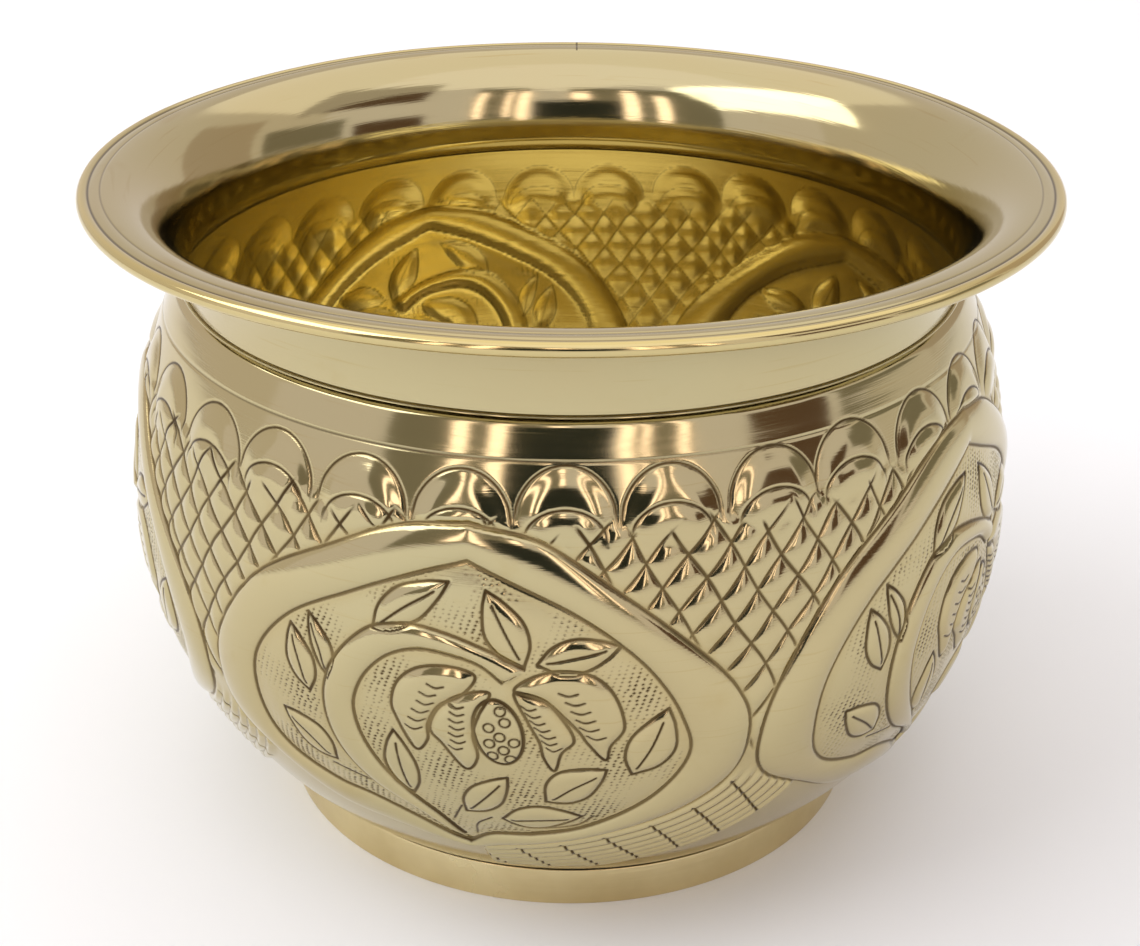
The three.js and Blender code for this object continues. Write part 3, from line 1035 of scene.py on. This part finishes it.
def golden_inside(name):
    """Deeper gold with turning marks, for the inside of the belly."""
    s = Shader(name)
    cloud = s.noise(11.0, 4.0, 0.6)
    streak = s.noise(10.0, 3.0, 0.6, (1, 1, 40))
    colour = s.mix(s.ramp(cloud, [(0.3, 0), (0.72, 1)]), GOLD, GOLD_DARK)
    colour = s.mix(s.ramp(s.attribute("tarnish"), [(0.1, 0), (0.7, 0.8)]), colour, PATINA)
    # painted shade: the inside's hollows are darkened towards dark gold
    low = s.ramp(s.attribute("hollow"), [(0.0, 0), (0.8, 0.5)])
    colour = s.mix(low, colour, GOLD_DARK)
    rough = s.math("MULTIPLY_ADD", cloud, 0.12, 0.16)
    s.put(s.bsdf.inputs["Base Color"], colour)
    s.put(s.bsdf.inputs["Roughness"], rough)
    turned = s.tree.nodes.new("ShaderNodeTexNoise")
    turned.noise_dimensions = "1D"
    s.put(turned.inputs["W"], s.axis_distance())
    s.put(turned.inputs["Scale"], 420.0)
    marks = s.math("ADD", streak, turned.outputs["Fac"])
    s.put(s.bsdf.inputs["Normal"], s.bump(marks, 0.0002, 0.5))
    return s.material


def satin_brass(name, tint, dark, rough):
    """Plain satin metal in two clouded tones."""
    s = Shader(name)
    cloud = s.noise(26.0, 4.0, 0.6)
    streak = s.noise(18.0, 3.0, 0.6, (1, 1, 30))
    colour = s.mix(s.ramp(cloud, [(0.35, 0), (0.75, 0.8)]), tint, dark)
    s.put(s.bsdf.inputs["Base Color"], colour)
    s.put(s.bsdf.inputs["Roughness"], s.math("MULTIPLY_ADD", cloud, 0.2, rough))
    s.put(s.bsdf.inputs["Normal"], s.bump(streak, 0.0002, 0.6))
    return s.material


chased_brass = polished_brass("chased_brass", 0.08, True)
plain_brass = polished_brass("plain_brass", 0.075)
inside_brass = golden_inside("inside_brass")
foot_brass = satin_brass("foot_brass", (0.76, 0.65, 0.38), (0.55, 0.43, 0.2), 0.2)
solder = satin_brass("solder_metal", (0.62, 0.54, 0.30), (0.5, 0.4, 0.2), 0.22)
steel = satin_brass("drawn_steel", (0.45, 0.43, 0.4), (0.22, 0.19, 0.16), 0.3)

# ---- Pieces on the frame -----------------------------------------------------------------------

belly = belly_piece([chased_brass, inside_brass])
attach(belly, "root")
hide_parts("bowl_body")

neck = neck_piece([plain_brass])
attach(neck, "root")
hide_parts("neck_rim")

wire = wire_piece([steel])
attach(wire, "root")
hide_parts("rim_wire")

foot = foot_piece([foot_brass])
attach(foot, "root")
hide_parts("foot_ring")

neck_seam = neck_solder_piece([solder])
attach(neck_seam, "root")
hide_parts("neck_solder_seam")

foot_seam = foot_solder_piece([solder])
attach(foot_seam, "root")
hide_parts("foot_solder_seam")

# ---- Camera ------------------------------------------------------------------------------------

CAMERA_BACK = 0.4928
CAMERA_HEIGHT = 0.3376
CAMERA_PITCH = 0.471
CAMERA_ROLL = 0.0047
SENSOR = 36.0
FOCAL_PIXELS = 1950.0
IMAGE_WIDTH = 1140.0

camera_data = bpy.data.cameras.new("camera")
camera_data.sensor_width = SENSOR
camera_data.lens = SENSOR * FOCAL_PIXELS / IMAGE_WIDTH
camera_data.clip_start = 0.01
camera = bpy.data.objects.new("camera", camera_data)
camera.location = (0.0, -CAMERA_BACK, CAMERA_HEIGHT)
tilt = Matrix.Rotation(math.pi / 2 - CAMERA_PITCH, 3, "X")
camera.rotation_euler = (tilt @ Matrix.Rotation(CAMERA_ROLL, 3, "Z")).to_euler()
bpy.context.scene.collection.objects.link(camera)
bpy.context.scene.camera = camera

# ---- Floor and light ---------------------------------------------------------------------------

bpy.context.scene.view_settings.view_transform = "Standard"

FLOOR_HALF = 8.0
PAPER = (0.91, 0.945, 0.97, 1)
PAPER_ROUGHNESS = 0.9

floor_mesh = bpy.data.meshes.new("floor")
corners = [(x * FLOOR_HALF, y * FLOOR_HALF, 0) for x, y in ((-1, -1), (1, -1), (1, 1), (-1, 1))]
floor_mesh.from_pydata(corners, [], [(0, 1, 2, 3)])
floor = bpy.data.objects.new("floor", floor_mesh)
bpy.context.scene.collection.objects.link(floor)
paper = bpy.data.materials.new("paper")
paper.use_nodes = True
paper_shader = paper.node_tree.nodes["Principled BSDF"]
paper_shader.inputs["Base Color"].default_value = PAPER
paper_shader.inputs["Roughness"].default_value = PAPER_ROUGHNESS
floor_mesh.materials.append(paper)

ROOM = (0.92, 0.86, 0.90)
BACK = (0.82, 0.75, 0.71)
SHADE = (0.035, 0.04, 0.035)
DIM = (0.30, 0.27, 0.22)
SIDE = (0.6, 0.5, 0.43)
BROWN = (0.15, 0.09, 0.06)
WINDOW = (3.4, 2.75, 2.6)
# Panels of light and shade around the plain room: azimuth, elevation, half sizes (degrees), colour.
PANELS = [
    (180, 45, 95, 60, BACK),
    (-24, 24, 25, 22, DIM),
    (24, 24, 9, 22, DIM),
    (-1.8, 15, 14.2, 13, SHADE),
    (-3, 35, 3.0, 5, WINDOW),
    (-30, 22, 2.2, 16, WINDOW),
    (-19.5, 24, 2.4, 18, WINDOW),
    (16, 23, 1.8, 18, WINDOW),
    (21, 25, 1.0, 16, WINDOW),
    (30.5, 24, 1.4, 16, WINDOW),
    (60, 9, 12, 8, BROWN),
    (75, 44, 24, 10, BROWN),
    (92, 15, 16, 9, DIM),
    (130, 18, 17, 16, SIDE),
]


def build_world():
    """A plain room whose light depends only on direction."""
    world = bpy.data.worlds.new("studio")
    world.use_nodes = True
    bpy.context.scene.world = world
    nodes = Nodes(world.node_tree)
    background = world.node_tree.nodes["Background"]
    direction = nodes.node("ShaderNodeTexCoord").outputs["Generated"]
    x, y, z = nodes.node("ShaderNodeSeparateXYZ", Vector=direction).outputs
    elevation = nodes.math("DEGREES", nodes.math("ARCSINE", z))
    colour = ROOM
    for azimuth, rise, half_w, half_h, tint in PANELS:
        c, s = math.cos(math.radians(azimuth)), math.sin(math.radians(azimuth))
        ahead = nodes.math("ADD", nodes.math("MULTIPLY", x, s), nodes.math("MULTIPLY", y, -c))
        aside = nodes.math("ADD", nodes.math("MULTIPLY", x, c), nodes.math("MULTIPLY", y, s))
        angle = nodes.math("ABSOLUTE", nodes.math("DEGREES", nodes.math("ARCTAN2", aside, ahead)))
        across = nodes.math("MULTIPLY", nodes.math("SUBTRACT", half_w + 0.4, angle), 1.25, clamp=True)
        up = nodes.math("ABSOLUTE", nodes.math("SUBTRACT", elevation, float(rise)))
        upright = nodes.math("MULTIPLY", nodes.math("SUBTRACT", half_h + 1.0, up), 0.5, clamp=True)
        colour = nodes.mix(nodes.math("MULTIPLY", across, upright), colour, tint)
    nodes.put(background.inputs["Color"], colour)
    background.inputs["Strength"].default_value = 1.0


build_world()

# Soft boxes: place, width, depth, power. Each faces the bowl's middle.
SOFT_BOXES = {"window_light": ((-1.7, -0.4, 1.9), 2.2, 1.2, 22.0),
              "overhead_light": ((0.2, 0.2, 2.7), 4.6, 4.6, 30.0)}
for name, (place_at, width, depth, power) in SOFT_BOXES.items():
    box = bpy.data.lights.new(name, "AREA")
    box.shape = "RECTANGLE"
    box.size = width
    box.size_y = depth
    box.energy = power
    holder = bpy.data.objects.new(name, box)
    holder.location = place_at
    holder.rotation_euler = Vector(place_at).to_track_quat("Z", "Y").to_euler()
    bpy.context.scene.collection.objects.link(holder)
